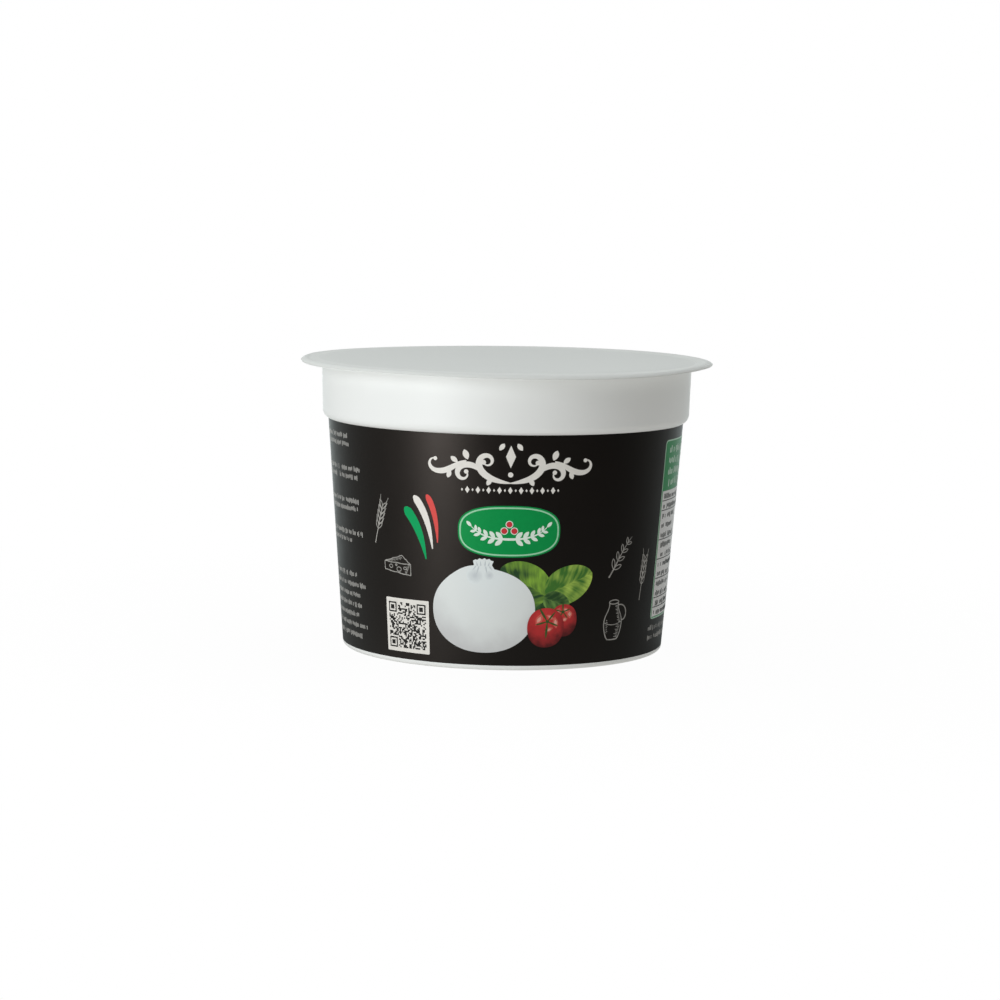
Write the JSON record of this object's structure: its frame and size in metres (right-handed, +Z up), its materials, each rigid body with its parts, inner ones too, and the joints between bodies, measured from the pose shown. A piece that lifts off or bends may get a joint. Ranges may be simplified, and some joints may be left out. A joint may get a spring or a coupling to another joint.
{
  "type": "sealed tub of burrata",
  "caption": "Round tapered tub of burrata, sealed with a flat peelable film over a wide flange, with a tall stacking collar and a black printed label.",
  "frame": {"origin": "centre of the foot, on the surface that the tub stands on", "axes": "+Z up the tub's axis, -Y through the middle of the label's front"},
  "size_m": [0.117, 0.117, 0.0824],
  "materials": {
    "tub_plastic": "white moulded polypropylene, satin",
    "label_print": "black print under satin varnish",
    "lidding_film": "white heat-sealed film"
  },
  "bodies": {
    "root": {"tub": "tub_plastic", "label": "label_print", "lidding_film": "lidding_film"}
  },
  "joints": []
}
